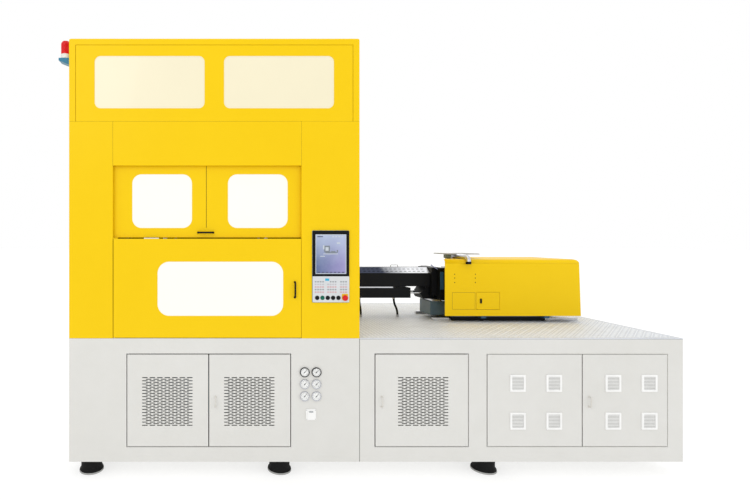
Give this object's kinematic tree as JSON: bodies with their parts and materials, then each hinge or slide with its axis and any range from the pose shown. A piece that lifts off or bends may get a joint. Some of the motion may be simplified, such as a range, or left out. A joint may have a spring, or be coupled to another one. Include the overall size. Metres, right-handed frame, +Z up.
{
  "type": "blow moulding machine",
  "caption": "One-stage injection stretch blow moulding machine: guarded clamp tower with index table on a cabinet, injection unit on a tread-plate deck beside it.",
  "frame": {"origin": "on the floor, in the middle of the machine's bounding box", "axes": "+X to the right along the front, +Y to the rear, +Z up"},
  "size_m": [5.32, 2.233, 3.725],
  "materials": {
    "yellow_paint": "smooth powder coat",
    "grey_paint": "fine-textured powder coat",
    "black_paint": "satin",
    "blue_paint": "satin",
    "steel": "machined",
    "tread": "rolled tread pattern",
    "mould_steel": "ground",
    "cast": "painted casting",
    "pane": "milky sheet",
    "black_plastic": "fine grain",
    "panel_plastic": "smooth",
    "red_plastic": "smooth",
    "green_plastic": "smooth",
    "teal_paint": "smooth",
    "gauge_white": "smooth",
    "hose_rubber": "smooth"
  },
  "bodies": {
    "machine_frame": {"hydraulic_base": "grey_paint", "electric_base": "grey_paint", "deck_plate": "tread", "levelling_feet": "cast", "door_hinge_pins": "steel", "hydraulic_power_unit": "blue_paint", "switchgear": "panel_plastic", "pressure_gauges": "gauge_white", "tower_posts": "grey_paint", "tower_cap": "yellow_paint", "top_window_panel": "yellow_paint", "top_windows": "pane", "header_panel": "yellow_paint", "front_panel_left": "yellow_paint", "front_panel_right": "yellow_paint", "tower_side_left": "yellow_paint", "tower_side_right": "yellow_paint", "tower_rear": "yellow_paint", "gate_rails": "steel", "control_panel": "panel_plastic", "beacon_bracket": "teal_paint", "beacon_lens": "red_plastic", "bed_platen": "mould_steel", "tie_bars": "steel", "top_platen": "mould_steel", "injection_mould": "mould_steel", "conditioning_pots": "mould_steel", "unit_rails": "steel", "cylinder_guard": "black_paint", "feed_hoses": "hose_rubber"},
    "gate": {"upper_gate": "yellow_paint", "gate_windows": "pane", "gate_handle": "black_plastic"},
    "swing_door": {"lower_door": "yellow_paint", "lower_door_window": "pane", "lower_door_handle": "black_plastic"},
    "hydraulic_door_left_leaf": {"hydraulic_door_left": "grey_paint"},
    "hydraulic_door_right_leaf": {"hydraulic_door_right": "grey_paint"},
    "centre_door_leaf": {"centre_door": "grey_paint"},
    "electric_door_left_leaf": {"electric_door_left": "grey_paint"},
    "electric_door_right_leaf": {"electric_door_right": "grey_paint"},
    "platen": {"moving_platen": "mould_steel"},
    "table": {"index_table": "mould_steel"},
    "cores": {"core_plate": "mould_steel"},
    "stretch": {"stretch_unit": "mould_steel"},
    "blow_inner": {"blow_mould_inner": "mould_steel"},
    "blow_outer": {"blow_mould_outer": "mould_steel"},
    "injection_unit": {"unit_sled": "blue_paint", "injection_drive": "black_paint", "barrel": "steel", "barrel_guard": "black_paint", "injection_cover": "yellow_paint", "hopper_flange": "steel"},
    "hatch": {"cover_hatch": "yellow_paint"},
    "button_1": {"push_button_1": "black_plastic"},
    "button_2": {"push_button_2": "green_plastic"},
    "button_3": {"push_button_3": "black_plastic"},
    "button_4": {"push_button_4": "black_plastic"},
    "button_5": {"push_button_5": "black_plastic"},
    "stop_button": {"emergency_stop": "red_plastic"}
  },
  "joints": [
    {"name": "gate_lift", "type": "slide", "parent": "machine_frame", "child": "gate", "axis": [0, 0, 1], "range_m": [0, 0.54]},
    {"name": "lower_door_swing", "type": "hinge", "parent": "machine_frame", "child": "swing_door", "pos_m": [-2.176, -1.0765, 1.17], "axis": [0, 0, -1], "range_deg": [0, 110]},
    {"name": "hydraulic_door_left_swing", "type": "hinge", "parent": "machine_frame", "child": "hydraulic_door_left_leaf", "pos_m": [-2.06, -1.0765, 0.25], "axis": [0, 0, -1], "range_deg": [0, 110]},
    {"name": "hydraulic_door_right_swing", "type": "hinge", "parent": "machine_frame", "child": "hydraulic_door_right_leaf", "pos_m": [-0.684, -1.0765, 0.25], "axis": [0, 0, 1], "range_deg": [0, 110]},
    {"name": "centre_door_swing", "type": "hinge", "parent": "machine_frame", "child": "centre_door_leaf", "pos_m": [0.827, -1.0765, 0.25], "axis": [0, 0, 1], "range_deg": [0, 90]},
    {"name": "electric_door_left_swing", "type": "hinge", "parent": "machine_frame", "child": "electric_door_left_leaf", "pos_m": [1.002, -1.0765, 0.25], "axis": [0, 0, -1], "range_deg": [0, 90]},
    {"name": "electric_door_right_swing", "type": "hinge", "parent": "machine_frame", "child": "electric_door_right_leaf", "pos_m": [2.52, -1.0765, 0.25], "axis": [0, 0, 1], "range_deg": [0, 110]},
    {"name": "platen_lift", "type": "slide", "parent": "machine_frame", "child": "platen", "axis": [0, 0, 1], "range_m": [-0.25, 0]},
    {"name": "table_index", "type": "hinge", "parent": "platen", "child": "table", "pos_m": [-1.325, 0.0165, 2.126], "axis": [0, 0, 1], "continuous": true},
    {"name": "core_stroke", "type": "slide", "parent": "platen", "child": "cores", "axis": [0, 0, 1], "range_m": [-0.24, 0]},
    {"name": "stretch_stroke", "type": "slide", "parent": "platen", "child": "stretch", "axis": [0, 0, 1], "range_m": [-0.24, 0]},
    {"name": "blow_close_inner", "type": "slide", "parent": "machine_frame", "child": "blow_inner", "axis": [-1, 0, 0], "range_m": [0, 0.12]},
    {"name": "blow_close_outer", "type": "slide", "parent": "machine_frame", "child": "blow_outer", "axis": [1, 0, 0], "range_m": [0, 0.12]},
    {"name": "injection_traverse", "type": "slide", "parent": "machine_frame", "child": "injection_unit", "axis": [1, 0, 0], "range_m": [0, 0.22]},
    {"name": "hatch_swing", "type": "hinge", "parent": "injection_unit", "child": "hatch", "pos_m": [1.54, -0.3355, 1.303], "axis": [0, 0, 1], "range_deg": [0, 110]},
    {"name": "button_1_press", "type": "slide", "parent": "machine_frame", "child": "button_1", "axis": [0, 1, 0], "range_m": [0, 0.003], "stiffness_N_per_m": 600, "springref_m": -0.001},
    {"name": "button_2_press", "type": "slide", "parent": "machine_frame", "child": "button_2", "axis": [0, 1, 0], "range_m": [0, 0.003], "stiffness_N_per_m": 600, "springref_m": -0.001},
    {"name": "button_3_press", "type": "slide", "parent": "machine_frame", "child": "button_3", "axis": [0, 1, 0], "range_m": [0, 0.003], "stiffness_N_per_m": 600, "springref_m": -0.001},
    {"name": "button_4_press", "type": "slide", "parent": "machine_frame", "child": "button_4", "axis": [0, 1, 0], "range_m": [0, 0.003], "stiffness_N_per_m": 600, "springref_m": -0.001},
    {"name": "button_5_press", "type": "slide", "parent": "machine_frame", "child": "button_5", "axis": [0, 1, 0], "range_m": [0, 0.003], "stiffness_N_per_m": 600, "springref_m": -0.001},
    {"name": "stop_press", "type": "slide", "parent": "machine_frame", "child": "stop_button", "axis": [0, 1, 0], "range_m": [0, 0.004], "stiffness_N_per_m": 1500, "springref_m": -0.002}
  ],
  "couplings": [
    {"joint": "blow_close_outer", "follows": "blow_close_inner", "ratio": 1}
  ]
}
